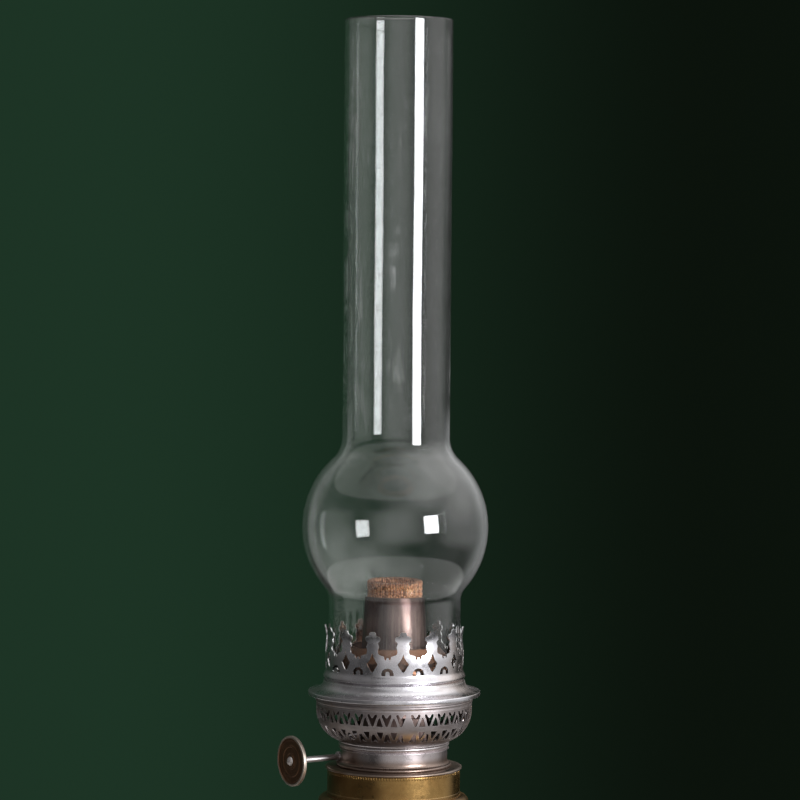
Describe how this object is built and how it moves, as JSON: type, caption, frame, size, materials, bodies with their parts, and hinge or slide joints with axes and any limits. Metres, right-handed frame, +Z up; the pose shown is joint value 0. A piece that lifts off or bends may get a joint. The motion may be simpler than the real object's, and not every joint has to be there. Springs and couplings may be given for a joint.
{
  "type": "kerosene lamp",
  "caption": "Brass kerosene table lamp: round foot, turned stem, squat font, round-wick burner with side knob, pierced gallery, fingered crown and tall bulged glass chimney.",
  "frame": {"origin": "on the table at the centre of the foot's underside", "axes": "+Z up along the lamp's axis; -Y is the side the picture was taken from"},
  "size_m": [0.144, 0.144, 0.5102],
  "materials": {
    "foot_brass": "spun brass, worn polish",
    "stem_brass": "turned brass, worn polish",
    "font_brass": "spun brass, worn polish",
    "collar_brass": "aged brass, soft sheen",
    "burner_brass": "old brass, dulled",
    "basket_nickel": "worn nickel plate, dulled in the piercings",
    "dull_nickel": "worn nickel plate, warm and dull",
    "bright_nickel": "worn nickel plate",
    "heated_steel": "heat-stained steel",
    "copper": "browned copper",
    "knob_patina": "dark brown patina, bright rim",
    "plain_steel": "plain steel",
    "ballast_iron": "rough casting",
    "wick_cotton": "woven cotton, browned",
    "clear_glass": "clear, slightly hazed"
  },
  "bodies": {
    "stand": {"foot_shell": "foot_brass", "foot_ballast": "ballast_iron", "foot_washer": "plain_steel", "foot_nut": "plain_steel", "tie_rod": "plain_steel", "stem_base": "stem_brass", "stem_knop": "stem_brass", "stem_top": "stem_brass", "font_cup": "stem_brass", "font_bowl": "font_brass", "font_boss": "plain_steel", "font_dome": "font_brass", "font_seam_band": "font_brass", "font_collar": "collar_brass"},
    "burner": {"thread_ring": "burner_brass", "base_plate": "bright_nickel", "winder_drum": "dull_nickel", "drum_deck": "dull_nickel", "outer_wick_tube": "heated_steel", "inner_wick_tube": "heated_steel", "draught_duct": "heated_steel", "shaft_gland": "bright_nickel", "tail_bearing": "burner_brass"},
    "gallery": {"pierced_basket": "basket_nickel", "gallery_flange": "bright_nickel", "chimney_seat": "bright_nickel", "air_cone": "copper", "chimney_crown": "bright_nickel"},
    "chimney": {"chimney": "clear_glass"},
    "winder": {"winder_shaft": "plain_steel", "spur_wheels": "plain_steel", "winder_knob": "knob_patina", "knob_rivet": "bright_nickel"},
    "wick": {"wick": "wick_cotton"}
  },
  "joints": [
    {"name": "burner_lift", "type": "slide", "parent": "stand", "child": "burner", "axis": [0, 0, 1], "range_m": [0, 0.115]},
    {"name": "gallery_lift", "type": "slide", "parent": "burner", "child": "gallery", "axis": [0, 0, 1], "range_m": [0, 0.078]},
    {"name": "chimney_lift", "type": "slide", "parent": "gallery", "child": "chimney", "axis": [0, 0, 1], "range_m": [0, 0.06]},
    {"name": "winder_turn", "type": "hinge", "parent": "burner", "child": "winder", "pos_m": [-0.00838, 0.01232, 0.2138], "axis": [-0.8271, -0.5621, 0], "range_deg": [-127, 63]},
    {"name": "wick_raise", "type": "slide", "parent": "burner", "child": "wick", "axis": [0, 0, 1], "range_m": [-0.0081, 0.0041]}
  ],
  "couplings": [
    {"joint": "wick_raise", "follows": "winder_turn", "m_per_rad": 0.0036}
  ]
}
